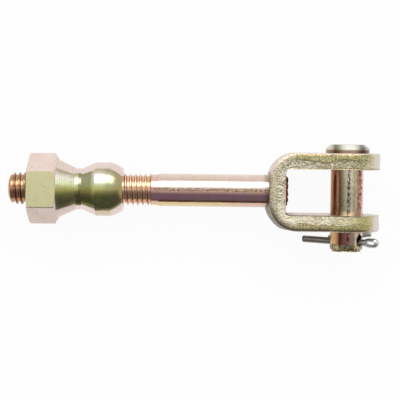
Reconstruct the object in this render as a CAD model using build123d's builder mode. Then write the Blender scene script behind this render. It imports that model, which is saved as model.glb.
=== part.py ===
from build123d import *
import math
import os

# Clevis rod end with an adjusting ball nut, in millimetres.
# Origin: where the clevis pin's axis crosses the rod's axis. +X points out of the
# clevis mouth, +Y towards the pin's head, +Z up, so the part lies on its side on
# the rims of its two ears and on one flat of the nut.

os.makedirs("parts", exist_ok=True)

# Fits and clearances
running_clearance = 0.08  # radial, pin in its ears and nut over the thread crests
head_clearance = 0.05  # pin head above the ear it sits on
leg_slit = 0.1  # between the two flats of the split pin

# Rod: 1/2 in bar with a 1/2-13 thread on its free end
rod_radius = 6.35
rod_length = 106.9
rod_end_chamfer = 1.2
thread_pitch = 25.4 / 13
thread_length = 55.0
depth_share = 0.6134  # of the pitch, for a cut thread with a rounded root
relief_width = 2.4
relief_depth = 0.4
relief_bevel = 1.0

# Yoke: flat strap with a round eye at each end, bent to a U
strap_thickness = 6.35
strap_width = 20.0
eye_radius = 12.7
yoke_gap = 17.5
yoke_depth = 24.4  # from the pin's axis to the inside of the base
outer_bend_radius = 11.0
inner_bend_radius = 1.8
eye_blend_radius = 1.5
sheared_edge_radius = 0.9

# Weld over the rod's end inside the yoke
weld_ring_radius = 4.6
weld_lump_radius = 2.0
weld_lump_top_radius = 1.1
weld_lump_count = 11
weld_height = 1.4
weld_dome_radius = 5.2
weld_dome_height = 1.0

# Clevis pin: headed, drilled across near its free end
pin_radius = 6.35
pin_head_radius = 8.5
pin_head_height = 3.4
pin_head_bevel_height = 1.4
pin_head_bevel_width = 2.2
pin_tail = 7.9  # free end beyond the lower ear
pin_end_chamfer = 1.2
cross_hole_radius = 2.2
cross_hole_chamfer = 0.5
cross_hole_setback = 4.5  # hole's axis from the pin's free end
cross_hole_turn = 32.0  # degrees from +X towards +Z

# Split pin: half-round wire, one leg straight and one folded round the clevis pin
wire_radius = 1.35
eye_loop_radius = 1.5
neck_radius = 2.0
eye_loop_reach = 10.85  # from the clevis pin's axis to the middle of the loop
straight_leg_reach = 19.0
folded_leg_clearance = 0.4  # between the folded leg and the clevis pin
fold_radius = 2.2
fold_turn = 140.0
folded_leg_length = 16.0
split_pin_twist = 7.0

# Ball nut: hexagon, waist and ball turned from one hexagonal bar
nut_setback = 7.8  # rod standing out of the hexagon's end
hex_across_flats = 23.8
hex_height = 11.1
hex_bevel_angle = 30.0
hex_outer_chamfer = 0.5
hex_inner_chamfer = 1.1
cone_start_radius = 11.3
waist_radius = 8.0
cone_length = 7.1
waist_length = 2.4
shoulder_length = 5.3
ball_radius = 10.45
ball_band_length = 5.9
nose_length = 4.6
nose_radius = 8.2
nose_bulge = 0.25
bore_chamfer = 0.9

# Places that several pieces share
selection_tolerance = 0.01
half_gap = yoke_gap / 2
ear_outer = half_gap + strap_thickness
base_inner_x = -yoke_depth
base_outer_x = base_inner_x - strap_thickness
rod_end_x = base_inner_x - rod_length
thread_end_x = rod_end_x + thread_length
bore_radius = rod_radius + running_clearance
pin_bore_radius = pin_radius + running_clearance
pin_end_y = -ear_outer - pin_tail
cross_hole_y = pin_end_y + cross_hole_setback

# Threaded rod. Its plain end passes through the yoke's base and ends flush inside.
# The thread is drawn as rings of its true pitch and depth, with sharp crests and roots.
root_radius = rod_radius - depth_share * thread_pitch
thread_turns = math.floor((thread_length - rod_end_chamfer) / thread_pitch)
relief_end_x = thread_end_x + relief_width
rod_profile = [
    (rod_end_x, 0),
    (rod_end_x, rod_radius - rod_end_chamfer),
    (rod_end_x + rod_end_chamfer, rod_radius),
]
for turn in range(thread_turns):
    crest_x = thread_end_x - (thread_turns - turn) * thread_pitch
    rod_profile += [(crest_x, rod_radius), (crest_x + thread_pitch / 2, root_radius)]
rod_profile += [
    (thread_end_x, rod_radius),
    (thread_end_x, rod_radius - relief_depth),
    (relief_end_x, rod_radius - relief_depth),
    (relief_end_x + relief_bevel, rod_radius),
    (base_inner_x, rod_radius),
    (base_inner_x, 0),
]
with BuildPart() as threaded_rod:
    with BuildSketch(Plane.XY):
        with BuildLine():
            Polyline(rod_profile, close=True)
        make_face()
    revolve(axis=Axis.X)

# Yoke. The bent strap is drawn from above, then its eyes are added, its outer rim is
# rounded as shearing leaves it, and everything is bored.
def on_outside(edge):
    """True for an edge that runs along the strap's outer face."""
    middle = edge @ 0.5
    on_leg = abs(middle.Y) > ear_outer - selection_tolerance
    on_base = middle.X < base_outer_x + selection_tolerance
    is_arc = edge.geom_type == GeomType.CIRCLE
    on_bend = is_arc and abs(edge.radius - outer_bend_radius) < selection_tolerance
    return on_leg or on_base or on_bend


with BuildPart() as yoke:
    with BuildSketch(Plane.XY) as strap:
        with Locations((base_outer_x / 2, 0)):
            Rectangle(-base_outer_x, 2 * ear_outer)
        fillet(strap.vertices().group_by(Axis.X)[0], outer_bend_radius)
        with Locations((base_inner_x / 2, 0)):
            Rectangle(yoke_depth, yoke_gap, mode=Mode.SUBTRACT)
        inner_corners = strap.vertices().filter_by(
            lambda v: abs(v.X - base_inner_x) < selection_tolerance
        )
        fillet(inner_corners, inner_bend_radius)
    extrude(amount=strap_width / 2, both=True)
    for side in (1, -1):
        with BuildSketch(Plane.XZ.offset(-side * half_gap)):
            Circle(eye_radius)
        extrude(amount=-side * strap_thickness)
    eye_corners = yoke.edges().filter_by(Axis.Y).filter_by(
        lambda e: -eye_radius < e.center().X < 0
    )
    fillet(eye_corners, eye_blend_radius)
    outer_rim = yoke.edges().filter_by(Axis.Z, reverse=True).filter_by(on_outside)
    fillet(outer_rim, sheared_edge_radius)
    with BuildSketch(Plane.XZ):
        Circle(pin_bore_radius)
    extrude(amount=ear_outer, both=True, mode=Mode.SUBTRACT)
    with BuildSketch(Plane.YZ.offset(base_outer_x)):
        Circle(rod_radius)
    extrude(amount=strap_thickness, mode=Mode.SUBTRACT)

# Weld bead: a low dome over the rod's end with a ring of lumps round it.
seated = (Align.CENTER, Align.CENTER, Align.MIN)
with BuildPart() as weld_bead:
    with Locations(Plane.YZ.offset(base_inner_x)):
        with PolarLocations(weld_ring_radius, weld_lump_count):
            Cone(weld_lump_radius, weld_lump_top_radius, weld_height, align=seated)
    with BuildSketch(Plane.XY):
        with BuildLine():
            dome_top = (base_inner_x + weld_dome_height, 0)
            dome_edge = (base_inner_x, weld_dome_radius)
            Line(dome_edge, (base_inner_x, 0))
            Line((base_inner_x, 0), dome_top)
            TangentArc(dome_top, dome_edge, tangent=(0, 1))
        make_face()
    revolve(axis=Axis.X)

# Clevis pin. Its head sits on the ear on the +Y side.
head_seat_y = ear_outer + head_clearance
head_top_y = head_seat_y + pin_head_height
across = Vector(1, 0, 0).rotate(Axis.Y, -cross_hole_turn)
with BuildPart() as clevis_pin:
    with BuildSketch(Plane.XY):
        with BuildLine():
            Polyline(
                (0, pin_end_y),
                (pin_radius - pin_end_chamfer, pin_end_y),
                (pin_radius, pin_end_y + pin_end_chamfer),
                (pin_radius, head_seat_y),
                (pin_head_radius, head_seat_y),
                (pin_head_radius, head_top_y - pin_head_bevel_height),
                (pin_head_radius - pin_head_bevel_width, head_top_y),
                (0, head_top_y),
                close=True,
            )
        make_face()
    revolve(axis=Axis.Y)
    hole_plane = Plane((0, cross_hole_y, 0), z_dir=across)
    with BuildSketch(hole_plane):
        Circle(cross_hole_radius)
    extrude(amount=pin_radius, both=True, mode=Mode.SUBTRACT)
    chamfer(clevis_pin.edges().filter_by(GeomType.BSPLINE), cross_hole_chamfer)

# Split pin. Its wire lies in one plane through the cross hole's axis: the plane's x runs
# out of the loop end, and its y leads to the straight leg's side.
lift = Vector(0, -1, 0).rotate(Axis((0, 0, 0), across), split_pin_twist)
wire_plane = Plane((0, cross_hole_y, 0), x_dir=across, z_dir=lift)
flat_offset = leg_slit / 2
neck_rise = flat_offset + neck_radius
neck_to_loop = neck_radius + eye_loop_radius
neck_x = eye_loop_reach - math.sqrt(neck_to_loop**2 - neck_rise**2)
neck_turn = math.degrees(math.acos(neck_rise / neck_to_loop))
fold = math.radians(fold_turn)
folded_leg_distance = pin_radius + folded_leg_clearance + wire_radius
fold_x = (folded_leg_distance - fold_radius + (flat_offset + fold_radius) * math.cos(fold)) / math.sin(fold)
with BuildPart() as split_pin:
    with BuildLine(wire_plane) as wire:
        Line((-straight_leg_reach, flat_offset), (neck_x, flat_offset))
        CenterArc((neck_x, neck_rise), neck_radius, -90, neck_turn)
        CenterArc((eye_loop_reach, 0), eye_loop_radius, 90 + neck_turn, -180 - 2 * neck_turn)
        CenterArc((neck_x, -neck_rise), neck_radius, 90 - neck_turn, neck_turn)
        Line((neck_x, -flat_offset), (-fold_x, -flat_offset))
        leg_turn = CenterArc((-fold_x, -flat_offset - fold_radius), fold_radius, 90, fold_turn)
        PolarLine(leg_turn @ 1, folded_leg_length, direction=leg_turn % 1)
    wire_start = wire_plane.from_local_coords((-straight_leg_reach, flat_offset))
    section_plane = Plane(wire_start, x_dir=wire_plane.y_dir, z_dir=across)
    with BuildSketch(section_plane) as half_round:
        Circle(wire_radius)
        Rectangle(wire_radius, 2 * wire_radius, align=(Align.MAX, Align.CENTER), mode=Mode.SUBTRACT)
    sweep(half_round.sketch, path=wire.wires()[0])

# Ball nut: the turned profile, and a hexagon whose corners are bevelled at both ends.
nut_x = rod_end_x + nut_setback
hex_end_x = nut_x + hex_height
waist_x = hex_end_x + cone_length
shoulder_x = waist_x + waist_length
band_x = shoulder_x + shoulder_length
nose_x = band_x + ball_band_length
nut_end_x = nose_x + nose_length
hex_apothem = hex_across_flats / 2
hex_corner = hex_apothem / math.cos(math.pi / 6)
bevel_slope = 1 / math.tan(math.radians(hex_bevel_angle))
with BuildPart() as ball_nut:
    with BuildSketch(Plane.YZ.offset(nut_x)):
        RegularPolygon(hex_apothem, 6, major_radius=False)
    extrude(amount=hex_height)
    with BuildSketch(Plane.XY):
        with BuildLine():
            Polyline(
                (nut_x, 0),
                (nut_x, hex_corner - hex_outer_chamfer * bevel_slope),
                (nut_x + hex_outer_chamfer, hex_corner),
                (hex_end_x - hex_inner_chamfer, hex_corner),
                (hex_end_x, hex_corner - hex_inner_chamfer * bevel_slope),
                (hex_end_x, 0),
                close=True,
            )
        make_face()
    revolve(axis=Axis.X, mode=Mode.INTERSECT)
    with BuildSketch(Plane.XY):
        with BuildLine():
            Polyline(
                (hex_end_x, 0),
                (hex_end_x, cone_start_radius),
                (waist_x, waist_radius),
                (shoulder_x, waist_radius),
                (band_x, ball_radius),
                (nose_x, ball_radius),
            )
            SagittaArc((nose_x, ball_radius), (nut_end_x, nose_radius), nose_bulge)
            Polyline((nut_end_x, nose_radius), (nut_end_x, 0), (hex_end_x, 0))
        make_face()
    revolve(axis=Axis.X)
    with BuildSketch(Plane.YZ.offset(nut_x)):
        Circle(bore_radius)
    extrude(amount=nut_end_x - nut_x, mode=Mode.SUBTRACT)
    bore_rims = ball_nut.edges().filter_by(GeomType.CIRCLE).filter_by(
        lambda e: abs(e.radius - bore_radius) < selection_tolerance
    )
    chamfer(bore_rims, bore_chamfer)

pieces = {
    "threaded_rod": threaded_rod,
    "yoke": yoke,
    "weld_bead": weld_bead,
    "clevis_pin": clevis_pin,
    "split_pin": split_pin,
    "ball_nut": ball_nut,
}
for name, piece in pieces.items():
    piece.part.label = name
    export_step(piece.part, f"parts/{name}.step")
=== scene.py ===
import math

import bmesh
import bpy
from mathutils import Matrix, Vector, noise


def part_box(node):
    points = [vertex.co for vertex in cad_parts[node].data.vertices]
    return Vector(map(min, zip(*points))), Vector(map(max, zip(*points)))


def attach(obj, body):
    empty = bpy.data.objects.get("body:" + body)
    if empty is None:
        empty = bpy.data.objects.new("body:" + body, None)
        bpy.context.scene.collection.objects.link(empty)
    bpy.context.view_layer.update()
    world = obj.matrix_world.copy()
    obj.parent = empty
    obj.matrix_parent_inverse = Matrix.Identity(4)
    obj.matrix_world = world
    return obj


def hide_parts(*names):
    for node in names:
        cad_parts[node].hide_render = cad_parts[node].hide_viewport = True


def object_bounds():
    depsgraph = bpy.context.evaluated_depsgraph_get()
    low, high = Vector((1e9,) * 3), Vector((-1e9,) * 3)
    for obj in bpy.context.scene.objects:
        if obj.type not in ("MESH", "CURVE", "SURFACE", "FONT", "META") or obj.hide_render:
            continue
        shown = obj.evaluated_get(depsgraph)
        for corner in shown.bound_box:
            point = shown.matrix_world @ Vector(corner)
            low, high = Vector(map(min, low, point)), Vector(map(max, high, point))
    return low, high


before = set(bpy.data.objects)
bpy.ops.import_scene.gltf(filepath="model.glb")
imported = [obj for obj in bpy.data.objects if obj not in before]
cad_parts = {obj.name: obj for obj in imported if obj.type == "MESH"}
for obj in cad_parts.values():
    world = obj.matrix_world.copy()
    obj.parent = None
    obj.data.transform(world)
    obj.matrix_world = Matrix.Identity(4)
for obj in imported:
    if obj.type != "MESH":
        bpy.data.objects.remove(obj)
solid_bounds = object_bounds()


# Threaded rod: a half-inch steel bar with a cut thread, 13 turns to the inch, on its free
# half, a relief groove behind the thread and a plain shank. It was plated yellow after
# cutting, and the plating lies copper-coloured in the thread and pale on the shank. Its
# highlights and reflections are painted into its colour round the bar.
thread_pitch = 0.0254 / 13
thread_length = 0.055
thread_depth = 0.5 * thread_pitch
crest_width = 0.13 * thread_pitch
root_width = 0.46 * thread_pitch
root_hollow = 0.035 * thread_pitch
relief_width = 0.0024
relief_depth = 0.0004
relief_bevel = 0.001
end_round_depth = 0.0024
end_round_length = 0.0009
steps_per_turn = 72
merge_distance = 1e-6
rod_bump_depth = 0.000015
rim_fade = (-0.058, -0.036)
tip_full, tip_gone = 0.0072, 0.0085


def make_piece(name, shape, body, replaced, sharp_angle=30):
    """The finished piece: doubles merged, faces outward, edges over the angle crisp."""
    bmesh.ops.remove_doubles(shape, verts=shape.verts, dist=merge_distance)
    bmesh.ops.recalc_face_normals(shape, faces=shape.faces)
    mesh = bpy.data.meshes.new(name)
    shape.to_mesh(mesh)
    shape.free()
    if "custom_normal" in mesh.attributes:
        mesh.attributes.remove(mesh.attributes["custom_normal"])
    mesh.shade_smooth()
    mesh.set_sharp_from_angle(angle=math.radians(sharp_angle))
    piece = bpy.data.objects.new(name, mesh)
    bpy.context.collection.objects.link(piece)
    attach(piece, body)
    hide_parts(replaced)
    return piece


def set_radius(vertex, radius):
    """Moves a point straight in or out from the rod's axis."""
    scale = radius / math.hypot(vertex.co.y, vertex.co.z)
    vertex.co.y *= scale
    vertex.co.z *= scale


rod_low, rod_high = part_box("threaded_rod")
joint_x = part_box("yoke")[0].x
rod_radius = rod_high.y
root_radius = rod_radius - thread_depth
thread_end = rod_low.x + thread_length
flank_width = (thread_pitch - crest_width - root_width) / 2
thread_turns = math.ceil(thread_length / thread_pitch) + 2
profile_start = rod_low.x - thread_pitch
thread_profile = [
    (0, rod_radius),
    (crest_width, rod_radius),
    (crest_width + flank_width, root_radius),
    (crest_width + flank_width + root_width / 2, root_radius - root_hollow),
    (crest_width + flank_width + root_width, root_radius),
    (thread_pitch, rod_radius),
]
bar = bmesh.new()
profile_points = [bar.verts.new((profile_start + x, r, 0)) for x, r in thread_profile]
profile_edges = [bar.edges.new(pair) for pair in zip(profile_points, profile_points[1:])]
bmesh.ops.spin(
    bar,
    geom=profile_points + profile_edges,
    axis=(1, 0, 0),
    dvec=(thread_pitch / steps_per_turn, 0, 0),
    angle=math.tau * thread_turns,
    steps=steps_per_turn * thread_turns,
)
bmesh.ops.remove_doubles(bar, verts=bar.verts, dist=merge_distance)
for place, outward in ((rod_low.x, -1), (thread_end, 1)):
    bmesh.ops.bisect_plane(
        bar,
        geom=bar.verts[:] + bar.edges[:] + bar.faces[:],
        plane_co=(place, 0, 0),
        plane_no=(outward, 0, 0),
        clear_outer=True,
    )
for point in bar.verts:
    from_end = point.co.x - rod_low.x
    blank_radius = rod_radius - end_round_depth * math.exp(-from_end / end_round_length)
    if math.hypot(point.co.y, point.co.z) > blank_radius:
        set_radius(point, blank_radius)
thread_middle = (rod_low.x + thread_end) / 2
start_rim = [e for e in bar.edges if e.is_boundary and e.verts[0].co.x < thread_middle]
rim = [e for e in bar.edges if e.is_boundary and e.verts[0].co.x > thread_middle]
bmesh.ops.edgeloop_fill(bar, edges=start_rim)
shank_profile = [
    (thread_end, rod_radius - relief_depth),
    (thread_end + relief_width, rod_radius - relief_depth),
    (thread_end + relief_width + relief_bevel, rod_radius),
    (rod_high.x, rod_radius),
]
for place, radius in shank_profile:
    grown = bmesh.ops.extrude_edge_only(bar, edges=rim)["geom"]
    rim = [part for part in grown if isinstance(part, bmesh.types.BMEdge)]
    for point in [part for part in grown if isinstance(part, bmesh.types.BMVert)]:
        point.co.x = place
        set_radius(point, radius)
bmesh.ops.edgeloop_fill(bar, edges=rim)
cut_rod = make_piece("cut_thread_rod", bar, "rod", "threaded_rod")


def tint(red, green, blue):
    """A colour as it shows on screen, from 0 to 255, in the numbers that a shader takes."""
    shown = [value / 255 for value in (red, green, blue)]
    linear = [v / 12.92 if v < 0.04045 else ((v + 0.055) / 1.055) ** 2.4 for v in shown]
    return (*linear, 1)


def add_node(tree, kind, inputs=None, **settings):
    """A shader node with its settings, and its inputs set to values or linked to sockets."""
    made = tree.nodes.new("ShaderNode" + kind)
    for key, value in settings.items():
        setattr(made, key, value)
    for key, value in (inputs or {}).items():
        if isinstance(value, bpy.types.NodeSocket):
            tree.links.new(value, made.inputs[key])
        else:
            made.inputs[key].default_value = value
    return made


def calculate(tree, operation, first, second=0.0, clamp=False):
    """One sum on values, such as ADD or MULTIPLY."""
    made = add_node(tree, "Math", {0: first, 1: second}, operation=operation, use_clamp=clamp)
    return made.outputs[0]


def multiply(tree, first, second, clamp=False):
    """The product of two values or masks."""
    return calculate(tree, "MULTIPLY", first, second, clamp)


def multiply_add(tree, value, factor, added):
    """A value times a factor, plus an amount."""
    made = add_node(tree, "Math", {0: value, 1: factor, 2: added}, operation="MULTIPLY_ADD")
    return made.outputs[0]


def mix_colors(tree, share, first, second, how="MIX"):
    """Two colours mixed: share 0 gives the first and 1 the second."""
    settings = {"data_type": "RGBA", "blend_type": how}
    return add_node(tree, "Mix", {0: share, 6: first, 7: second}, **settings).outputs[2]


def paint_over(tree, color, paint, mask, strength, how="MIX"):
    """A colour with a paint over it where the mask shows, at one strength."""
    return mix_colors(tree, multiply(tree, mask, strength), color, paint, how)


def color_along(tree, value, stops):
    """A colour read from a value between 0 and 1, from stops of place and colour."""
    made = add_node(tree, "ValToRGB", {"Fac": value})
    while len(made.color_ramp.elements) < len(stops):
        made.color_ramp.elements.new(1)
    for element, (place, color) in zip(made.color_ramp.elements, stops):
        element.position = place
        element.color = color
    return made.outputs["Color"]


def step_between(tree, value, low, high):
    """A soft step: 0 below low, 1 above high."""
    inputs = {"Value": value, "From Min": low, "From Max": high}
    return add_node(tree, "MapRange", inputs, interpolation_type="SMOOTHSTEP").outputs["Result"]


def band_between(tree, value, start, full, fade, end):
    """A soft band: 0 up to its start, 1 from full to fade, and 0 again past its end."""
    rise = step_between(tree, value, start, full)
    return multiply(tree, rise, step_between(tree, value, end, fade))


def stretch(tree, vector, scale):
    """Coordinates scaled along each axis: a texture is drawn out where the scale is low."""
    return add_node(tree, "Mapping", {"Vector": vector, "Scale": scale}).outputs["Vector"]


def soft_noise(tree, vector, scale, detail):
    """A cloudy value round 0.5 that changes over the surface."""
    inputs = {"Vector": vector, "Scale": scale, "Detail": detail}
    return add_node(tree, "TexNoise", inputs).outputs["Fac"]


def new_group(name, inputs, outputs):
    """An empty shader group with its named inputs and outputs, and its two end nodes."""
    group = bpy.data.node_groups.new(name, "ShaderNodeTree")
    for label, (kind, value) in inputs.items():
        socket_type = "NodeSocket" + kind
        socket = group.interface.new_socket(label, in_out="INPUT", socket_type=socket_type)
        if value is not None:
            socket.default_value = value
    for label, kind in outputs.items():
        group.interface.new_socket(label, in_out="OUTPUT", socket_type="NodeSocket" + kind)
    start = group.nodes.new("NodeGroupInput")
    end = group.nodes.new("NodeGroupOutput")
    return group, start.outputs, end.inputs


def finish_group(group, ends, results):
    """Links each result to the group's output of that name."""
    for label, socket in results.items():
        group.links.new(socket, ends[label])


# Cloudy change of tint in the plating, over patches of one size.
tint_patches, given, ends = new_group(
    "tint_patches",
    {
        "Vector": ("Vector", None),
        "Size": ("Float", 0.004),
        "Amount": ("Float", 0.5),
        "Color": ("Color", None),
        "Patch Color": ("Color", None),
    },
    {"Color": "Color"},
)
patch_scale = calculate(tint_patches, "DIVIDE", 1.0, given["Size"])
patch_inputs = {"Vector": given["Vector"], "Scale": patch_scale, "Detail": 3.0}
patch_inputs["Distortion"] = 0.6
patch_noise = add_node(tint_patches, "TexNoise", patch_inputs).outputs["Fac"]
patch_share = step_between(tint_patches, patch_noise, 0.42, 0.62)
patch_share = multiply(tint_patches, patch_share, given["Amount"])
patched = mix_colors(tint_patches, patch_share, given["Color"], given["Patch Color"])
finish_group(tint_patches, ends, {"Color": patched})

# Fine grit: specks of one grain size, and the rough height that goes with them.
fine_grit, given, ends = new_group(
    "fine_grit",
    {
        "Vector": ("Vector", None),
        "Grain": ("Float", 0.0003),
        "Density": ("Float", 0.4),
    },
    {"Specks": "Float", "Height": "Float"},
)
grit_scale = calculate(fine_grit, "DIVIDE", 1.0, given["Grain"])
grit_inputs = {"Vector": given["Vector"], "Scale": grit_scale, "Detail": 2.5, "Roughness": 0.6}
grit_noise = add_node(fine_grit, "TexNoise", grit_inputs).outputs["Fac"]
speck_floor = multiply_add(fine_grit, given["Density"], -0.3, 0.72)
over_floor = calculate(fine_grit, "SUBTRACT", grit_noise, speck_floor)
specks = multiply(fine_grit, over_floor, 12.0, clamp=True)
finish_group(fine_grit, ends, {"Specks": specks, "Height": grit_noise})

# Bright wear and a painted highlight along edges: where the rounded normal leaves the true one.
edge_wear_and_highlight, given, ends = new_group(
    "edge_wear_and_highlight",
    {"Vector": ("Vector", None), "Width": ("Float", 0.0003)},
    {"Mask": "Float"},
)
rounded = add_node(edge_wear_and_highlight, "Bevel", {"Radius": given["Width"]}, samples=4).outputs["Normal"]
true_normal = add_node(edge_wear_and_highlight, "NewGeometry").outputs["Normal"]
both_normals = {0: rounded, 1: true_normal}
agreement = add_node(edge_wear_and_highlight, "VectorMath", both_normals, operation="DOT_PRODUCT")
edge_share = step_between(edge_wear_and_highlight, agreement.outputs["Value"], 0.995, 0.9)
break_inputs = {"Vector": given["Vector"], "Scale": 900.0, "Detail": 2.0}
break_noise = add_node(edge_wear_and_highlight, "TexNoise", break_inputs).outputs["Fac"]
edge_breaks = step_between(edge_wear_and_highlight, break_noise, 0.3, 0.6)
edge_mask = multiply(edge_wear_and_highlight, edge_share, edge_breaks)
finish_group(edge_wear_and_highlight, ends, {"Mask": edge_mask})


def patchy_tint(tree, vector, size, amount, color, patch_color):
    """A colour that clouds over to another one, in patches of one size."""
    inputs = {"Vector": vector, "Size": size, "Amount": amount, "Color": color}
    inputs["Patch Color"] = patch_color
    return add_node(tree, "Group", inputs, node_tree=tint_patches).outputs["Color"]


def grit_marks(tree, vector, grain, density):
    """The specks and the height of grit of one grain size."""
    inputs = {"Vector": vector, "Grain": grain, "Density": density}
    return add_node(tree, "Group", inputs, node_tree=fine_grit).outputs


def new_metal(name, *pieces):
    """A new all-metal material on the pieces: its tree, shader and object coordinates."""
    material = bpy.data.materials.new(name)
    material.use_nodes = True
    tree = material.node_tree
    shader = tree.nodes["Principled BSDF"]
    shader.inputs["Metallic"].default_value = 1.0
    for piece in pieces:
        piece.data.materials.clear()
        piece.data.materials.append(material)
    place = add_node(tree, "TexCoord").outputs["Object"]
    return tree, shader, place


def set_finish(tree, shader, color, roughness, height, bump_depth):
    """Links a finish to the shader, with its height as a bump of that depth in metres."""
    bump = add_node(tree, "Bump", {"Height": height, "Distance": bump_depth, "Strength": 1.0})
    tree.links.new(color, shader.inputs["Base Color"])
    tree.links.new(roughness, shader.inputs["Roughness"])
    tree.links.new(bump.outputs["Normal"], shader.inputs["Normal"])


def around_bar(tree, place, side):
    """Where a point lies on a round bar: across it, from 0 on its low side to 1 on its high
    side as seen along Z, its radius, and its separate coordinates."""
    parts = add_node(tree, "SeparateXYZ", {"Vector": place}).outputs
    squares = [calculate(tree, "POWER", parts[axis], 2.0) for axis in (side, "Z")]
    radius = calculate(tree, "SQRT", calculate(tree, "ADD", *squares))
    share = calculate(tree, "DIVIDE", parts[side], radius)
    return multiply_add(tree, share, 0.5, 0.5), radius, parts


tree, shader, place = new_metal("rod_plating", cut_rod)
across, radius, parts = around_bar(tree, place, "Y")
sway = soft_noise(tree, place, 90.0, 3.0)
across = calculate(tree, "ADD", across, multiply_add(tree, sway, 0.05, -0.025))
# Painted reflection: the low rim is painted gold to pink along the rod, for the floor it
# reflects.
rim_share = step_between(tree, parts["X"], *rim_fade)
low_rim_reflection_color = mix_colors(tree, rim_share, tint(232, 208, 158), tint(226, 190, 176))
# Painted reflections: the shank's colour follows the angle round the bar. It has a pale painted
# highlight band on the upper side and darker painted stops by the middle and the low side, over
# the plating's pink and gold.
shank_tint_and_reflections = color_along(tree, across, [
    (0.15, tint(112, 66, 42)),
    (0.19, tint(140, 84, 62)),
    (0.235, tint(214, 160, 184)),
    (0.40, tint(216, 164, 178)),
    (0.42, tint(234, 188, 180)),
    (0.47, tint(238, 194, 178)),
    (0.51, tint(206, 170, 150)),
    (0.58, tint(226, 208, 196)),
    (0.64, tint(248, 238, 234)),
    (0.78, tint(244, 226, 222)),
    (0.83, tint(214, 186, 180)),
    (0.87, tint(228, 200, 190)),
    (1.0, tint(238, 222, 206)),
])
on_rim = step_between(tree, across, 0.165, 0.13)
shank_tint_and_reflections = mix_colors(tree, on_rim, shank_tint_and_reflections, low_rim_reflection_color)
shank_tint_and_reflections = patchy_tint(tree, place, 0.005, 0.25, shank_tint_and_reflections, tint(206, 196, 150))
relief_end = thread_end + relief_width
in_relief = step_between(tree, parts["X"], relief_end + 0.0015, relief_end)
shank_tint_and_reflections = paint_over(tree, shank_tint_and_reflections, tint(228, 176, 172), in_relief, 0.5)
crest_share = step_between(tree, radius, root_radius, rod_radius)
root_color = patchy_tint(tree, place, 0.0028, 0.7, tint(230, 176, 146), tint(220, 194, 128))
# Painted light on the thread: the flanks are painted dark as shade and the crests pale as a
# painted highlight.
flank_shade_share = step_between(tree, crest_share, 0.1, 0.45)
thread_color = mix_colors(tree, flank_shade_share, root_color, tint(150, 110, 76))
crest_highlight_share = step_between(tree, crest_share, 0.8, 0.97)
thread_color = mix_colors(tree, crest_highlight_share, thread_color, tint(250, 228, 212))
on_thread = step_between(tree, parts["X"], thread_end + 0.0004, thread_end)
rod_color = mix_colors(tree, on_thread, shank_tint_and_reflections, thread_color)
grit = grit_marks(tree, place, 0.00042, 0.62)
free_end = step_between(tree, parts["X"], rod_low.x + tip_gone, rod_low.x + tip_full)
rod_color = paint_over(tree, rod_color, tint(150, 96, 64), free_end, 0.6)
# Painted reflection and shade: the rod is painted dark olive next to the yoke, which reflects
# in it and shades it.
yoke_reflection_shade = step_between(tree, parts["X"], joint_x - 0.0026, joint_x - 0.0004)
rod_color = paint_over(tree, rod_color, tint(118, 108, 72), yoke_reflection_shade, 0.6)
streaks = grit_marks(tree, stretch(tree, place, (0.35, 1, 1)), 0.0003, 0.9)
scuff_band = band_between(tree, across, 0.475, 0.50, 0.565, 0.595)
scuff = multiply(tree, scuff_band, streaks["Specks"])
off_thread = calculate(tree, "SUBTRACT", 1.0, on_thread)
scuff = multiply(tree, multiply(tree, scuff, off_thread), 0.9)
rod_color = mix_colors(tree, scuff, rod_color, tint(104, 70, 46))
rod_color = paint_over(tree, rod_color, tint(120, 84, 66), grit["Specks"], 0.25)
roughness = multiply_add(tree, grit["Height"], 0.2, 0.08)
set_finish(tree, shader, rod_color, roughness, grit["Height"], rod_bump_depth)


# Yoke: a flat steel strap with a sheared and punched outline, bent to a U and plated.
# Its cut edges are burnished near the outer face and torn rough near the inner one, where
# the metal broke away and leans inward.
strap_thickness = 0.00635
outer_bend_radius = 0.011
yoke_voxel = 0.00026
burnished_depth = 0.0026
boundary_wave = 0.0008
boundary_wave_length = 0.006
torn_lean = 0.06
torn_roughness = 0.00007
torn_grain = 0.0007
roll_over_width = 0.0016
roll_over_depth = 0.0003
corner_bulge = 0.00105
yoke_bump_depth = 0.00012
line_scale = 1600.0
low_bend_fade = (-0.003, -0.009)
ears_fade = (-0.0072, -0.0062)
past_pin_fade = (-0.001, 0.005)
past_eye_fade = (0.0085, 0.0105)


def fine_copy(node, voxel):
    """A bmesh copy of a solid, merged and remeshed to even small faces, ready to be worked."""
    source = bmesh.new()
    source.from_mesh(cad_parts[node].data)
    bmesh.ops.remove_doubles(source, verts=source.verts, dist=merge_distance)
    mesh = bpy.data.meshes.new(node + "_blank")
    source.to_mesh(mesh)
    source.free()
    blank = bpy.data.objects.new(node + "_blank", mesh)
    bpy.context.collection.objects.link(blank)
    remesh = blank.modifiers.new("remesh", "REMESH")
    remesh.mode = "VOXEL"
    remesh.voxel_size = voxel
    depsgraph = bpy.context.evaluated_depsgraph_get()
    worked = bmesh.new()
    worked.from_mesh(blank.evaluated_get(depsgraph).to_mesh())
    bpy.data.objects.remove(blank)
    bpy.data.meshes.remove(mesh)
    return worked


def smooth_step(value, low, high):
    """A soft step in plain numbers: 0 at low, 1 at high."""
    share = min(max((value - low) / (high - low), 0.0), 1.0)
    return share * share * (3 - 2 * share)


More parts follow.
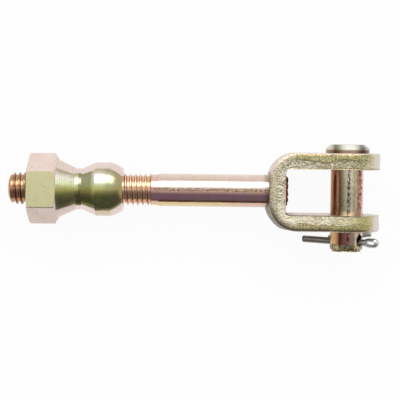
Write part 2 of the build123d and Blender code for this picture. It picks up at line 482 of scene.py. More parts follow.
yoke_low, yoke_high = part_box("yoke")
bend_x = yoke_low.x + outer_bend_radius
bend_y = yoke_high.y - outer_bend_radius
strap = fine_copy("yoke", yoke_voxel)
bmesh.ops.smooth_vert(
    strap, verts=strap.verts, factor=0.5, use_axis_x=True, use_axis_y=True, use_axis_z=True)
strap.normal_update()
cut_layer = strap.verts.layers.float.new("cut_edge")
torn_layer = strap.verts.layers.float.new("torn")
along_layer = strap.verts.layers.float.new("along")
depth_layer = strap.verts.layers.float.new("depth")
for point in strap.verts:
    into_bend = max(0.0, bend_x - point.co.x)
    off_middle = max(0.0, abs(point.co.y) - bend_y)
    reach = math.hypot(into_bend, off_middle)
    depth = outer_bend_radius - reach
    if reach > 0:
        through = Vector((-into_bend, math.copysign(off_middle, point.co.y), 0)) / reach
    else:
        through = Vector((0, 1, 0))
    lean_out = abs(point.normal.dot(through))
    cut_edge = 1 - smooth_step(lean_out, 0.35, 0.75)
    bend_turn = math.atan2(off_middle, into_bend) if reach > 0 else math.pi / 2
    straight = max(0.0, point.co.x - bend_x) + min(abs(point.co.y), bend_y)
    point[along_layer] = math.copysign(straight + outer_bend_radius * bend_turn, point.co.y)
    wave = noise.noise(point.co / boundary_wave_length)
    ripple = noise.noise(point.co / (boundary_wave_length / 4)) / 3
    boundary = burnished_depth + boundary_wave * (wave + ripple) * 1.6
    torn = smooth_step(depth, boundary, boundary + 0.0006)
    fall = torn_lean * max(0.0, depth - boundary)
    rough = torn_roughness * (1 + noise.noise(point.co / torn_grain)) * torn
    roll = roll_over_depth * max(0.0, 1 - depth / roll_over_width) ** 2
    point[depth_layer] = depth / strap_thickness
    point[cut_layer] = cut_edge
    point[torn_layer] = torn * cut_edge
    by_base = 1 - smooth_step(bend_turn, 0.9, 1.5)
    near_outside = 1 - smooth_step(depth, 0, 0.005)
    below_top = 1 - smooth_step(point.co.z, 0.002, 0.0095)
    pushed_out = smooth_step(-point.co.y, 0.002, 0.007) * by_base
    pushed_out *= near_outside * below_top
    point.co -= point.normal * cut_edge * (fall + rough + roll)
    point.co += through * corner_bulge * pushed_out
sheared_yoke = make_piece("sheared_yoke", strap, "rod", "yoke", sharp_angle=60)


def facing_up(tree):
    """How far the piece's own surface faces its +Z or -Z: 1 facing it, 0 edge-on."""
    normal = add_node(tree, "NewGeometry").outputs["Normal"]
    settings = {"vector_type": "NORMAL", "convert_from": "WORLD", "convert_to": "OBJECT"}
    turned = add_node(tree, "VectorTransform", {"Vector": normal}, **settings).outputs["Vector"]
    parts = add_node(tree, "SeparateXYZ", {"Vector": turned}).outputs
    return calculate(tree, "ABSOLUTE", parts["Z"])


tree, shader, place = new_metal("yoke_plating", sheared_yoke)
cut_edge = add_node(tree, "Attribute", attribute_name="cut_edge").outputs["Fac"]
torn = add_node(tree, "Attribute", attribute_name="torn").outputs["Fac"]
along = add_node(tree, "Attribute", attribute_name="along").outputs["Fac"]
flatness = facing_up(tree)
grit = grit_marks(tree, place, 0.0006, 0.75)
glint_place = add_node(tree, "Mapping", {"Vector": place, "Location": (0.1, 0, 0)})
glints = grit_marks(tree, glint_place.outputs["Vector"], 0.0007, 0.8)
line_place = add_node(tree, "CombineXYZ", {"X": along}).outputs["Vector"]
lines = soft_noise(tree, line_place, line_scale, 2.0)
line_tone = step_between(tree, lines, 0.35, 0.65)
burnished_color = mix_colors(tree, line_tone, tint(178, 172, 122), tint(236, 230, 188))
torn_color = mix_colors(tree, glints["Specks"], tint(232, 224, 188), tint(255, 252, 242))
torn_color = patchy_tint(tree, place, 0.003, 0.6, torn_color, tint(208, 188, 158))
edge_color = mix_colors(tree, torn, burnished_color, torn_color)
place_parts = add_node(tree, "SeparateXYZ", {"Vector": place}).outputs
boundary_line = multiply(tree, torn, calculate(tree, "SUBTRACT", 1.0, torn))
line_share = multiply_add(tree, step_between(tree, place_parts["Y"], bend_y, -bend_y), 2.6, 1.2)
boundary_line = multiply(tree, boundary_line, line_share, clamp=True)
edge_color = mix_colors(tree, boundary_line, edge_color, tint(116, 102, 60))
depth = add_node(tree, "Attribute", attribute_name="depth").outputs["Fac"]
depth_sway = soft_noise(tree, place, 300.0, 2.0)
depth = calculate(tree, "ADD", depth, multiply_add(tree, depth_sway, 0.08, -0.04))
depth_tone = color_along(tree, depth, [
    (0.04, tint(206, 186, 164)),
    (0.08, tint(150, 132, 106)),
    (0.13, tint(206, 196, 180)),
    (0.3, tint(240, 238, 232)),
    (0.7, tint(252, 250, 246)),
])
edge_color = mix_colors(tree, 1.0, edge_color, depth_tone, "MULTIPLY")
# Painted shade: the outer half of the base's cut edge is painted darker by the rod, and darker
# still on the lower bend.
on_base = step_between(tree, place_parts["X"], bend_x + 0.002, bend_x - 0.006)
base_rim_shade = multiply(tree, on_base, step_between(tree, depth, 0.5, 0.05))
edge_color = paint_over(tree, edge_color, tint(118, 104, 76), base_rim_shade, 0.62)
low_bend = step_between(tree, place_parts["Y"], *low_bend_fade)
low_bend_rim_shade = multiply(tree, base_rim_shade, low_bend)
edge_color = paint_over(tree, edge_color, tint(254, 244, 222), on_base, 0.5)
edge_color = paint_over(tree, edge_color, tint(110, 98, 70), low_bend_rim_shade, 0.6)
on_ears = step_between(tree, place_parts["X"], *ears_fade)
edge_color = paint_over(tree, edge_color, tint(176, 172, 110), on_ears, 0.35)
low_leg = step_between(tree, place_parts["Y"], -bend_y, -bend_y - 0.002)
past_pin = multiply(tree, torn, step_between(tree, place_parts["X"], *past_pin_fade))
past_pin = multiply(tree, past_pin, multiply_add(tree, low_leg, 0.35, 0.2))
edge_color = mix_colors(tree, past_pin, edge_color, tint(160, 154, 70))
grit_share = multiply_add(tree, multiply(tree, torn, low_leg), -0.4, 0.62)
grit_share = multiply(tree, grit["Specks"], grit_share)
edge_color = mix_colors(tree, grit_share, edge_color, tint(112, 92, 58))
face_color = patchy_tint(tree, place, 0.005, 0.5, tint(228, 208, 198), tint(214, 208, 176))
face_color = paint_over(tree, face_color, tint(130, 100, 80), grit["Specks"], 0.3)
# Painted shade: the outer face of the lower bend is painted dark.
low_bend_face_shade = multiply(tree, on_base, low_bend)
face_color = paint_over(tree, face_color, tint(92, 82, 64), low_bend_face_shade, 0.8)
# Painted reflection: the round ends of the eyes are painted pale grey, as their grazing
# reflection.
eye_end_reflection = step_between(tree, place_parts["X"], *past_eye_fade)
face_color = paint_over(tree, face_color, tint(218, 217, 206), eye_end_reflection, 0.8)
# Painted shadow: the back of the base is painted dark next to the rod.
on_back = step_between(tree, place_parts["X"], yoke_low.x + 0.0008, yoke_low.x + 0.0003)
off_axis = calculate(tree, "ABSOLUTE", place_parts["Y"])
rod_shadow = multiply(tree, on_back, step_between(tree, off_axis, 0.0095, 0.0075))
face_color = paint_over(tree, face_color, tint(116, 100, 74), rod_shadow, 0.75)
on_cut = multiply(tree, cut_edge, step_between(tree, flatness, 0.62, 0.85))
yoke_color = mix_colors(tree, on_cut, face_color, edge_color)
# Painted shade: the upper leg's cut edge is painted darker by its inner face.
inner_depth = step_between(tree, depth, 0.86, 0.96)
upper_inner_edge_shade = multiply(tree, inner_depth, step_between(tree, flatness, 0.2, 0.4))
upper_inner_edge_shade = multiply(tree, upper_inner_edge_shade, step_between(tree, place_parts["Y"], 0.0, bend_y))
yoke_color = paint_over(tree, yoke_color, tint(132, 122, 84), upper_inner_edge_shade, 0.55)
roughness = multiply_add(tree, grit["Height"], 0.35, 0.2)
height = calculate(tree, "ADD", grit["Height"], multiply(tree, lines, 0.3))
set_finish(tree, shader, yoke_color, roughness, height, yoke_bump_depth)


# Weld bead: the rod is welded over its end inside the yoke. The weld is lumpy, and its
# oxide shows dark red-brown through the plating.
weld_voxel = 0.00014
weld_ripple = 0.00035
weld_grain = 0.0022
weld_bump_depth = 0.0001
bead = fine_copy("weld_bead", weld_voxel)
bead.normal_update()
weld_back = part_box("weld_bead")[0].x
for point in bead.verts:
    if point.co.x > weld_back + weld_voxel:
        point.co += point.normal * weld_ripple * (noise.noise(point.co / weld_grain) - 0.6)
lumpy_weld = make_piece("lumpy_weld", bead, "rod", "weld_bead", sharp_angle=60)

tree, shader, place = new_metal("weld_plating", lumpy_weld)
grit = grit_marks(tree, place, 0.0008, 0.5)
weld_color = mix_colors(tree, grit["Specks"], tint(112, 54, 38), tint(60, 26, 18))
weld_color = patchy_tint(tree, place, 0.0025, 0.6, weld_color, tint(150, 112, 76))
roughness = multiply_add(tree, grit["Height"], 0.3, 0.25)
set_finish(tree, shader, weld_color, roughness, grit["Height"], weld_bump_depth)


# Ball nut: turned from one hexagonal bar, with a waist and a ball that seats in a dished
# hole. It is plated yellow over the fine rings that the lathe left.
hexagon_length = 0.0111
collar_length = 0.0071
waist_length = 0.0077
ball_length = 0.0059
lathe_feed = 0.00085
nut_bump_depth = 0.000012
scratch_turns = (0.5, -1.1)
scratch_scales = (180.0, 150.0)
nut_low, nut_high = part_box("ball_nut")
hexagon_end = nut_low.x + hexagon_length
hexagon_corner = nut_high.z * math.tan(math.radians(30))
waist_start = hexagon_end + collar_length
ball_start = waist_start + waist_length
ball_end = ball_start + ball_length

# Rings that a lathe tool leaves, at one feed along X.
lathe_rings, given, ends = new_group(
    "lathe_rings",
    {"Along": ("Float", 0.0), "Feed": ("Float", 0.0005)},
    {"Height": "Float"},
)
turns = calculate(lathe_rings, "DIVIDE", given["Along"], given["Feed"])
rise = calculate(lathe_rings, "SINE", multiply(lathe_rings, turns, math.tau))
ring_place = add_node(lathe_rings, "CombineXYZ", {"X": turns}).outputs["Vector"]
ring_noise = soft_noise(lathe_rings, ring_place, 0.7, 2.0)
finish_group(lathe_rings, ends, {"Height": multiply(lathe_rings, rise, ring_noise)})

tree, shader, place = new_metal("nut_plating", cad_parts["ball_nut"])
across, _, parts = around_bar(tree, place, "Y")
flatness = facing_up(tree)
sway = soft_noise(tree, place, 120.0, 3.0)
across = calculate(tree, "ADD", across, multiply_add(tree, sway, 0.04, -0.02))
# Painted reflections: round the nut the colour follows the angle round its axis. It has a pale
# painted highlight band on the upper side and dark painted stops towards the low side, over the
# plating's green-gold.
turned_tint_and_reflections = color_along(tree, across, [
    (0.12, tint(96, 78, 60)),
    (0.2, tint(112, 108, 84)),
    (0.38, tint(132, 130, 88)),
    (0.46, tint(176, 168, 98)),
    (0.54, tint(186, 186, 128)),
    (0.62, tint(206, 214, 180)),
    (0.7, tint(226, 224, 208)),
    (0.78, tint(226, 218, 206)),
    (0.84, tint(196, 186, 160)),
    (0.9, tint(170, 160, 136)),
])
green_gold = patchy_tint(tree, place, 0.004, 0.35, turned_tint_and_reflections, tint(176, 178, 104))
on_shoulder = band_between(
    tree, parts["X"],
    waist_start + 0.001, waist_start + 0.0016, ball_start - 0.0022, ball_start + 0.0002)
# Painted dark reflection: the shoulder cone is painted dark olive.
green_gold = paint_over(tree, green_gold, tint(116, 112, 62), on_shoulder, 0.75)
# Painted shade: the far part of the ball is painted darker, which dims its highlight.
ball_highlight_dimming = step_between(tree, parts["X"], ball_start + 0.0025, ball_end - 0.0005)
green_gold = paint_over(tree, green_gold, tint(140, 142, 96), ball_highlight_dimming, 0.5)
on_nose = step_between(tree, parts["X"], ball_end - 0.0002, ball_end + 0.003)
green_gold = paint_over(tree, green_gold, tint(156, 134, 96), on_nose, 0.6)
on_hexagon = step_between(tree, parts["X"], hexagon_end + 0.0001, hexagon_end - 0.0001)
hexagon_color = patchy_tint(tree, place, 0.005, 0.3, tint(222, 216, 172), tint(211, 211, 156))
facing_color = mix_colors(tree, on_hexagon, green_gold, hexagon_color)
# Painted reflection tint: faces turned away from the nut's Z are painted pink, and the ball
# band's low side yellow, where faces that face Z stay green-gold.
side_tint_and_reflection = patchy_tint(tree, place, 0.006, 0.5, tint(234, 214, 206), tint(224, 206, 194))
ball_band = band_between(
    tree, parts["X"],
    ball_start - 0.0001, ball_start + 0.0001, ball_end - 0.0001, ball_end + 0.0001)
low_band = multiply(tree, ball_band, step_between(tree, across, 0.3, 0.25))
side_tint_and_reflection = paint_over(tree, side_tint_and_reflection, tint(206, 190, 156), low_band, 0.7)
facing = step_between(tree, flatness, 0.6, 0.67)
nut_color = mix_colors(tree, facing, side_tint_and_reflection, facing_color)
grit = grit_marks(tree, place, 0.0004, 0.45)
nut_color = paint_over(tree, nut_color, tint(126, 116, 70), grit["Specks"], 0.3)
off_hexagon = calculate(tree, "SUBTRACT", 1.0, on_hexagon)
on_neck = step_between(tree, parts["X"], waist_start + 0.001, waist_start - 0.001)
on_neck = multiply(tree, on_neck, off_hexagon)
# Painted shade: the neck's upper side is painted darker, which dims its highlight.
neck_highlight_dimming = multiply(tree, on_neck, step_between(tree, across, 0.6, 0.68))
neck_highlight_dimming = multiply(tree, neck_highlight_dimming, facing)
nut_color = paint_over(tree, nut_color, tint(146, 132, 118), neck_highlight_dimming, 0.45)
ring_inputs = {"Along": parts["X"], "Feed": lathe_feed}
rings = add_node(tree, "Group", ring_inputs, node_tree=lathe_rings).outputs["Height"]
ring_line = step_between(tree, rings, -0.1, -0.45)
ring_tone = multiply(tree, ring_line, multiply_add(tree, on_neck, 0.2, 0.04))
nut_color = mix_colors(tree, ring_tone, nut_color, tint(132, 132, 84))
# Painted glints: bright cream flecks on the shoulder's upper side.
shoulder_glints = grit_marks(tree, place, 0.0007, 0.3)["Specks"]
upper_side = step_between(tree, across, 0.5, 0.62)
shoulder_glints = multiply(tree, multiply(tree, shoulder_glints, on_shoulder), upper_side)
nut_color = paint_over(tree, nut_color, tint(240, 232, 196), shoulder_glints, 0.6)
scuffed = band_between(tree, across, 0.46, 0.5, 0.52, 0.56)
scuffed = multiply(tree, multiply(tree, scuffed, ball_band), grit["Specks"])
nut_color = paint_over(tree, nut_color, tint(132, 98, 62), scuffed, 0.8)

# Scratches: thin straight lines here and there on a nearly flat face.
scratches, given, ends = new_group(
    "scratches",
    {"Vector": ("Vector", None), "Scale": ("Float", 180.0), "Turn": ("Float", 0.0)},
    {"Lines": "Float"},
)
turn_inputs = {"Vector": given["Vector"], "Angle": given["Turn"]}
turned = add_node(scratches, "VectorRotate", turn_inputs, rotation_type="Z_AXIS")
drawn = stretch(scratches, turned.outputs["Vector"], (1, 14, 1))
streak_inputs = {"Vector": drawn, "Scale": given["Scale"], "Detail": 1.0, "Distortion": 0.2}
streak = add_node(scratches, "TexNoise", streak_inputs).outputs["Fac"]
sparse = soft_noise(scratches, given["Vector"], multiply(scratches, given["Scale"], 1.7), 2.0)
line = step_between(scratches, streak, 0.66, 0.72)
line = multiply(scratches, line, step_between(scratches, sparse, 0.48, 0.6))
finish_group(scratches, ends, {"Lines": line})

drawn_lines = []
for turn, scale in zip(scratch_turns, scratch_scales):
    scratch_inputs = {"Vector": place, "Turn": turn, "Scale": scale}
    drawn_by_one = add_node(tree, "Group", scratch_inputs, node_tree=scratches)
    drawn_lines.append(drawn_by_one.outputs["Lines"])
marks = calculate(tree, "MAXIMUM", *drawn_lines)
marks = multiply(tree, marks, multiply_add(tree, on_hexagon, 0.45, 0.1))
nut_color = mix_colors(tree, marks, nut_color, tint(150, 140, 96))
# Painted dark reflection: a dark line along the hexagon's low long edge on its top face.
edge_near = calculate(tree, "ABSOLUTE", calculate(tree, "ADD", parts["Y"], hexagon_corner))
edge_near = calculate(tree, "ADD", edge_near, multiply_add(tree, sway, 0.0004, -0.0002))
low_edge_reflection = step_between(tree, edge_near, 0.00026, 0.00012)
near_top = step_between(tree, parts["Z"], 0.0108, 0.0112)
low_edge_reflection = multiply(tree, low_edge_reflection, multiply(tree, on_hexagon, near_top))
nut_color = paint_over(tree, nut_color, tint(92, 70, 52), low_edge_reflection, 0.85)
# Pale edges: wear and a painted highlight along the nut's edges.
pale_edge_inputs = {"Vector": place, "Width": 0.0004}
wear_and_highlight = add_node(tree, "Group", pale_edge_inputs, node_tree=edge_wear_and_highlight).outputs["Mask"]
nut_color = paint_over(tree, nut_color, tint(240, 224, 206), wear_and_highlight, 0.5)
ring_share = multiply(tree, multiply_add(tree, on_neck, 1.1, 0.25), off_hexagon)
height = calculate(tree, "ADD", grit["Height"], multiply(tree, rings, ring_share))
height = calculate(tree, "SUBTRACT", height, marks)
roughness = multiply_add(tree, on_hexagon, 0.27, 0.15)
roughness = calculate(tree, "ADD", roughness, multiply(tree, on_neck, 0.16))
roughness = calculate(tree, "ADD", roughness, multiply(tree, grit["Height"], 0.12))
set_finish(tree, shader, nut_color, roughness, height, nut_bump_depth)


# Clevis pin: a headed half-inch pin, drilled across near its end, plated yellow and
# scuffed along its length by its holes.
head_base = 0.01515
head_round = 0.0009
end_radius = 0.00575
end_chamfer = 0.0012
end_bevel_length = 0.0008
end_round = 0.0003
crisp_angle = math.radians(20)
pin_bump_depth = 0.00002
tail_fade = (-0.0146, -0.0156)
head_fade = (0.0150, 0.0152)
head_top_fade = (0.0183, 0.0185)
head_side_fade = (0.0168, 0.0160)
end_fade = (-0.0200, -0.0206)
end_rim_fade = (0.0050, 0.0060)


def ease_edges(shape, low, high, width, segments):
    """Rounds the crisp edges that run round the pin between two places along Y."""
    edges = [
        edge for edge in shape.edges
        if min(v.co.y for v in edge.verts) > low
        and max(v.co.y for v in edge.verts) < high
        and edge.calc_face_angle(0) > crisp_angle
        and abs(edge.verts[0].co.y - edge.verts[1].co.y) < merge_distance
    ]
    bmesh.ops.bevel(
        shape, geom=edges, offset=width, offset_type="OFFSET", segments=segments,
        profile=0.5, affect="EDGES", material=-1, clamp_overlap=True)


pin_low, pin_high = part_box("clevis_pin")
pin_copy = bmesh.new()
pin_copy.from_mesh(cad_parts["clevis_pin"].data)
bmesh.ops.remove_doubles(pin_copy, verts=pin_copy.verts, dist=merge_distance)
ease_edges(pin_copy, head_base + head_round, math.inf, head_round, segments=5)
for point in pin_copy.verts:
    from_end = point.co.y - pin_low.y
    if from_end < merge_distance:
        scale = end_radius / math.hypot(point.co.x, point.co.z)
        point.co = (point.co.x * scale, point.co.y, point.co.z * scale)
    elif abs(from_end - end_chamfer) < merge_distance:
        point.co.y = pin_low.y + end_bevel_length
pin_copy.normal_update()
chamfer_end = pin_low.y + end_bevel_length + merge_distance
ease_edges(pin_copy, -math.inf, chamfer_end, end_round, segments=3)
eased_pin = make_piece("eased_pin", pin_copy, "pin", "clevis_pin")

tree, shader, place = new_metal("pin_plating", eased_pin)
across, radius, parts = around_bar(tree, place, "X")
sway = soft_noise(tree, place, 110.0, 3.0)
across = calculate(tree, "ADD", across, multiply_add(tree, sway, 0.06, -0.03))
# Painted reflections: the pin's colour follows the angle round it, in pale painted highlight
# and dark bands along its length.
pin_tint_and_reflections = color_along(tree, across, [
    (0.03, tint(168, 112, 66)),
    (0.13, tint(226, 176, 146)),
    (0.22, tint(86, 60, 44)),
    (0.31, tint(166, 154, 122)),
    (0.41, tint(224, 214, 184)),
    (0.5, tint(206, 196, 166)),
    (0.59, tint(250, 244, 220)),
    (0.68, tint(210, 198, 162)),
    (0.78, tint(168, 138, 110)),
    (0.87, tint(196, 154, 138)),
    (0.93, tint(232, 204, 192)),
    (1.0, tint(238, 218, 210)),
])
# Painted reflections: the drilled tail gets its own bands round the pin, dark towards its -X
# side.
tail_mask = step_between(tree, parts["Y"], *tail_fade)
tail_tint_and_reflections = color_along(tree, across, [
    (0.0, tint(216, 182, 134)),
    (0.13, tint(206, 152, 100)),
    (0.18, tint(160, 112, 78)),
    (0.25, tint(96, 58, 40)),
    (0.34, tint(172, 116, 104)),
    (0.5, tint(200, 136, 130)),
    (0.62, tint(232, 196, 178)),
    (0.8, tint(206, 190, 160)),
    (1.0, tint(236, 226, 206)),
])
pin_tint_and_reflections = mix_colors(tree, tail_mask, pin_tint_and_reflections, tail_tint_and_reflections)
# Painted reflections: the head's bevel gets bands across it, pale in the middle and dark to
# either side; its flat top is one colour.
head_mask = step_between(tree, parts["Y"], *head_fade)
across_head = multiply_add(tree, parts["X"], 0.5 / pin_high.x, 0.5)
across_head = calculate(tree, "ADD", across_head, multiply_add(tree, sway, 0.04, -0.02))
head_tint_and_reflections = color_along(tree, across_head, [
    (0.04, tint(226, 218, 200)),
    (0.12, tint(196, 190, 170)),
    (0.18, tint(112, 108, 90)),
    (0.25, tint(150, 148, 128)),
    (0.36, tint(232, 228, 212)),
    (0.42, tint(250, 249, 240)),
    (0.6, tint(248, 246, 236)),
    (0.68, tint(204, 202, 186)),
    (0.75, tint(130, 128, 114)),
    (0.82, tint(116, 112, 100)),
    (0.9, tint(186, 182, 174)),
    (1.0, tint(226, 224, 216)),
])
on_top = step_between(tree, parts["Y"], *head_top_fade)
head_tint_and_reflections = mix_colors(tree, on_top, head_tint_and_reflections, tint(222, 216, 196))
# Painted shade: the side of the head is painted darker.
head_side_shade = step_between(tree, parts["Y"], *head_side_fade)
head_tint_and_reflections = paint_over(tree, head_tint_and_reflections, tint(154, 116, 92), head_side_shade, 0.9, "MULTIPLY")
pin_tint_and_reflections = mix_colors(tree, head_mask, pin_tint_and_reflections, head_tint_and_reflections)
end_place = calculate(tree, "ADD", parts["Y"], multiply_add(tree, sway, 0.002, -0.001))
end_mask = step_between(tree, end_place, *end_fade)
end_grit = grit_marks(tree, place, 0.0009, 0.8)["Specks"]
on_rim = step_between(tree, radius, *end_rim_fade)
end_grit = multiply(tree, end_grit, multiply_add(tree, on_rim, 0.85, 0.15))
end_color = mix_colors(tree, end_grit, tint(182, 172, 134), tint(100, 88, 62))
pin_tint_and_reflections = mix_colors(tree, end_mask, pin_tint_and_reflections, end_color)
streaks = grit_marks(tree, stretch(tree, place, (1, 0.3, 1)), 0.0004, 0.85)
scuff = band_between(tree, across, 0.43, 0.47, 0.53, 0.57)
side_scuff = band_between(tree, across, 0.74, 0.82, 0.9, 0.95)
scuff = calculate(tree, "MAXIMUM", scuff, side_scuff)
scuff = multiply(tree, multiply_add(tree, scuff, 0.7, 0.25), streaks["Specks"])
scuff = multiply(tree, scuff, calculate(tree, "SUBTRACT", 1.0, head_mask))
scuff = multiply(tree, scuff, calculate(tree, "SUBTRACT", 1.0, end_mask))
pin_tint_and_reflections = mix_colors(tree, scuff, pin_tint_and_reflections, tint(92, 46, 38))
grit = grit_marks(tree, place, 0.0004, 0.5)
pin_tint_and_reflections = paint_over(tree, pin_tint_and_reflections, tint(110, 74, 54), grit["Specks"], 0.35)
roughness = multiply_add(tree, grit["Height"], 0.25, 0.08)
set_finish(tree, shader, pin_tint_and_reflections, roughness, grit["Height"], pin_bump_depth)


# Split pin: half-round steel wire doubled on itself, with a clear zinc plate. One leg is
# left straight and the other is folded round the clevis pin, and the eye is pinched and
# twisted flat.
wire_radius = 0.00135
wire_slit = 0.00005
eye_wire_thickness = 0.0013
eye_reach = 0.0119
eye_radius = 0.00055
eye_straight = 0.0021
neck_radius = 0.0016
wire_drop = 0.0009
eye_twist = 82.0
twist_start, twist_end = 0.0022, 0.0068
leg_twist = 7.0
cross_turn = 32.0
cross_setback = 0.0045
straight_leg = 0.019
leg_slope = 1.0
folded_leg = 0.016
fold_radius = 0.0022
fold_turn = 140.0
fold_gap = 0.0004
tip_round = 0.0005
wire_step = 0.0003
arc_step = 9.0
wire_bump_depth = 0.00003


def follow(start, heading, moves):
    """Stations along a flat path: place, heading and distance. Each move is a straight's
    length, or an arc's radius and turn, to the left when positive."""
    stations = [(start, heading, 0.0)]
    for move in moves:
        if isinstance(move, tuple):
            bend_radius, turn = move[0], math.radians(move[1])
            count = max(3, round(abs(move[1]) / arc_step))
            steps = [(2 * bend_radius * abs(math.sin(turn / count / 2)), turn / count)] * count
        else:
            count = max(2, round(move / wire_step))
            steps = [(move / count, 0.0)] * count
        for length, turn in steps:
            spot, heading, travelled = stations[-1]
            middle = heading + turn / 2
            spot = (spot[0] + length * math.cos(middle), spot[1] + length * math.sin(middle))
            stations.append((spot, heading + turn, travelled + length))
    return stations


hole_middle = Vector((0, pin_low.y + cross_setback, 0))
shank_radius = 0.00635
along_hole = Vector((math.cos(math.radians(cross_turn)), 0, math.sin(math.radians(cross_turn))))
neck_turn = math.degrees(math.acos(1 - (eye_radius - wire_slit) / (2 * neck_radius)))
neck_length = 2 * neck_radius * math.sin(math.radians(neck_turn))
neck_x = eye_reach - eye_straight - neck_length
fold_angle = math.radians(fold_turn)
fold_distance = shank_radius + fold_gap + wire_radius
fold_x = fold_distance - fold_radius + (wire_slit + fold_radius) * math.cos(fold_angle)
fold_x /= math.sin(fold_angle)
wire_stations = follow((-straight_leg, wire_slit), 0.0, [
    straight_leg + neck_x,
    (neck_radius, neck_turn),
    (neck_radius, -neck_turn),
    eye_straight,
    (eye_radius, -180),
    eye_straight,
    (neck_radius, -neck_turn),
    (neck_radius, neck_turn),
    neck_x + fold_x,
    (fold_radius, fold_turn),
    folded_leg,
])
wire_length = wire_stations[-1][2]
round_points = 12
half_round = []
for step in range(round_points + 1):
    turn = math.pi * step / round_points
    half_round.append((math.sin(turn) ** 0.8, math.cos(turn)))
half_round += [(-0.03, -0.9), (-0.05, 0.0), (-0.03, 0.9)]


def on_wire(station, corner):
    """The place of one corner of the wire's section at a station of its path."""
    (reach, rise), heading, travelled = station
    unfolded = smooth_step(rise, -3 * wire_radius, -wire_radius)
    twisted = unfolded * smooth_step(reach, twist_start, twist_end)
    turn = Matrix.Rotation(math.radians(leg_twist + eye_twist * twisted), 3, along_hole)
    across_plane = turn @ Vector((0, -1, 0))
    up_plane = across_plane.cross(along_hole)
    outward = up_plane * math.cos(heading) - along_hole * math.sin(heading)
    from_tip = min(travelled, wire_length - travelled)
    fullness = math.sqrt(min(1.0, from_tip / tip_round + 0.1))
    thickness = (wire_radius + (eye_wire_thickness - wire_radius) * twisted) * fullness
    leg_rise = max(0.0, straight_leg - travelled) * math.tan(math.radians(leg_slope))
    spot = hole_middle + along_hole * reach + up_plane * rise
    spot.y += leg_rise - wire_drop * unfolded
    off_slit = outward * corner[0] * thickness
    return spot + off_slit + across_plane * corner[1] * wire_radius * fullness


wire = bmesh.new()
last_station, corners = len(wire_stations) - 1, len(half_round)
bmesh.ops.create_grid(wire, x_segments=last_station, y_segments=corners, size=0.5)
for point in wire.verts:
    station = wire_stations[round((point.co.x + 0.5) * last_station)]
    point.co = on_wire(station, half_round[round((point.co.y + 0.5) * corners) % corners])
bmesh.ops.remove_doubles(wire, verts=wire.verts, dist=merge_distance)
bmesh.ops.holes_fill(wire, edges=[edge for edge in wire.edges if edge.is_boundary])
bent_wire = make_piece(
    "bent_split_pin", wire, "pin", "split_pin", sharp_angle=50)

tree, shader, place = new_metal("split_pin_plating", bent_wire)
parts = add_node(tree, "SeparateXYZ", {"Vector": place}).outputs
grit = grit_marks(tree, place, 0.0005, 0.5)
in_eye = step_between(tree, parts["X"], 0.003, 0.0085)
wire_color = mix_colors(tree, in_eye, tint(138, 130, 120), tint(214, 215, 212))
wire_color = paint_over(tree, wire_color, tint(92, 84, 78), grit["Specks"], 0.7)
wire_color = patchy_tint(tree, place, 0.003, 0.5, wire_color, tint(150, 146, 140))
tip = step_between(tree, parts["X"], -0.0155, -0.0163)
wire_color = paint_over(tree, wire_color, tint(74, 62, 50), tip, 0.7)
roughness = multiply_add(tree, grit["Height"], 0.25, 0.16)
set_finish(tree, shader, wire_color, roughness, grit["Height"], wire_bump_depth)


# Floor: a white table top, wide enough to fill the view from any side. It shows white
# and still takes a soft shadow from the part.
floor_size = 6.0
floor_white = 0.82
shown_white = 0.94


def seen_rays(tree):
    """1 for rays that the camera sees, straight or in a reflection, 0 for rays that light."""
    rays = add_node(tree, "LightPath").outputs
    seen = calculate(tree, "MAXIMUM", rays["Is Camera Ray"], rays["Is Glossy Ray"])
    return calculate(tree, "MAXIMUM", seen, rays["Is Transmission Ray"])


floor_shape = bmesh.new()
bmesh.ops.create_grid(floor_shape, x_segments=1, y_segments=1, size=floor_size / 2)
bmesh.ops.translate(floor_shape, vec=(0, 0, solid_bounds[0][2]), verts=floor_shape.verts)
floor_mesh = bpy.data.meshes.new("floor")
floor_shape.to_mesh(floor_mesh)
floor_shape.free()
floor = bpy.data.objects.new("floor", floor_mesh)
bpy.context.collection.objects.link(floor)
paper = bpy.data.materials.new("white_table")
paper.use_nodes = True
tree = paper.node_tree
tree.nodes.clear()
seen = multiply(tree, seen_rays(tree), shown_white)
matt = add_node(tree, "BsdfDiffuse", {"Color": (floor_white, floor_white, floor_white, 1)})
glow = add_node(tree, "Emission", {"Color": (1, 1, 1, 1), "Strength": 1.0})
surface = add_node(tree, "MixShader", {0: seen, 1: matt.outputs[0], 2: glow.outputs[0]})
add_node(tree, "OutputMaterial", {"Surface": surface.outputs[0]})
floor_mesh.materials.append(paper)


# Lights: a long softbox behind and above the part, an even pale surround, and a dark
# card below the line of sight that only the metal's reflections meet.
def aim(thing, position, target, up=(0, 1, 0)):
    """Places a lamp, camera or card and points its -Z at the target."""
    position, target = Vector(position), Vector(target)
    back = (position - target).normalized()
    right = Vector(up).cross(back).normalized()
    turn = Matrix((right, back.cross(right), back)).transposed().to_4x4()
    thing.matrix_world = Matrix.Translation(position) @ turn


part_middle = Vector((sum(corner[0] for corner in solid_bounds) / 2, 0, 0))
softbox_distance = 0.6
softbox_angle = 46.5
softbox_width = 0.8
softbox_height = 0.34
softbox_radiance = 2.6
softbox_light = bpy.data.lights.new("softbox", "AREA")
softbox_light.shape = "RECTANGLE"
softbox_light.size = softbox_width
softbox_light.size_y = softbox_height
softbox_light.energy = softbox_radiance * math.pi * softbox_width * softbox_height
softbox = bpy.data.objects.new("softbox", softbox_light)
bpy.context.collection.objects.link(softbox)
lean = math.radians(softbox_angle)
softbox_place = part_middle + softbox_distance * Vector((0, math.sin(lean), math.cos(lean)))
aim(softbox, softbox_place, part_middle)

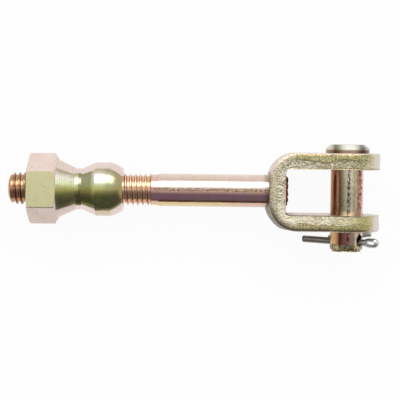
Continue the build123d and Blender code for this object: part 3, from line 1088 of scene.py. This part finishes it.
world = bpy.data.worlds.new("studio")
world.use_nodes = True
tree = world.node_tree
tree.nodes.clear()
surround_light = multiply_add(tree, seen_rays(tree), 0.25, 0.75)
surround = add_node(tree, "Background", {"Color": (1, 1, 1, 1), "Strength": surround_light})
add_node(tree, "OutputWorld", {"Surface": surround.outputs[0]})
bpy.context.scene.world = world

card_radius = 0.55
card_length = 1.6
card_start, card_end = -4.0, -94.0
card_steps = 30
card_top_light, card_low_light = 0.58, 0.22
card_shape = bmesh.new()
card_ends = [part_middle.x + side * card_length / 2 for side in (-1, 1)]
first_edge = [card_shape.verts.new((end, 0, card_radius)) for end in card_ends]
first_line = card_shape.edges.new(first_edge)
card_turn = Matrix.Rotation(math.radians(-card_start), 3, "X")
bmesh.ops.rotate(card_shape, verts=first_edge, cent=(0, 0, 0), matrix=card_turn)
bmesh.ops.spin(
    card_shape,
    geom=first_edge + [first_line],
    axis=(1, 0, 0),
    angle=math.radians(card_start - card_end),
    steps=card_steps,
)
card_mesh = bpy.data.meshes.new("dark_card")
card_shape.to_mesh(card_mesh)
card_shape.free()
card = bpy.data.objects.new("dark_card", card_mesh)
bpy.context.collection.objects.link(card)
card.visible_camera = False
card.visible_diffuse = False
card.visible_shadow = False
card.visible_transmission = False
card_paint = bpy.data.materials.new("dark_card")
card_paint.use_nodes = True
tree = card_paint.node_tree
tree.nodes.clear()
place = add_node(tree, "TexCoord").outputs["Object"]
parts = add_node(tree, "SeparateXYZ", {"Vector": place}).outputs
card_down = calculate(tree, "DIVIDE", multiply(tree, parts["Y"], -1.0), card_radius)
card_light = add_node(tree, "MapRange", {
    "Value": card_down,
    "From Min": 0.02,
    "From Max": 0.5,
    "To Min": card_top_light,
    "To Max": card_low_light,
}).outputs["Result"]
glow = add_node(tree, "Emission", {"Color": (1, 1, 1, 1), "Strength": card_light})
add_node(tree, "OutputMaterial", {"Surface": glow.outputs[0]})
card_mesh.materials.append(card_paint)


# Camera: almost straight down on the part, a little from the pin head's side.
frame_width = 0.15584
camera_distance = 0.483
camera_tilt = 2.5
camera_roll = 0.72
view_middle = Vector((-0.05717, -0.0038, 0))
camera_data = bpy.data.cameras.new("camera")
camera_data.sensor_width = 36.0
camera_data.lens = camera_data.sensor_width * camera_distance / frame_width
camera = bpy.data.objects.new("camera", camera_data)
bpy.context.collection.objects.link(camera)
tilt = math.radians(camera_tilt)
camera_place = view_middle + camera_distance * Vector((0, math.sin(tilt), math.cos(tilt)))
roll = math.radians(camera_roll)
aim(camera, camera_place, view_middle, up=(-math.sin(roll), math.cos(roll), 0))
bpy.context.scene.camera = camera
bpy.context.scene.view_settings.view_transform = "Standard"
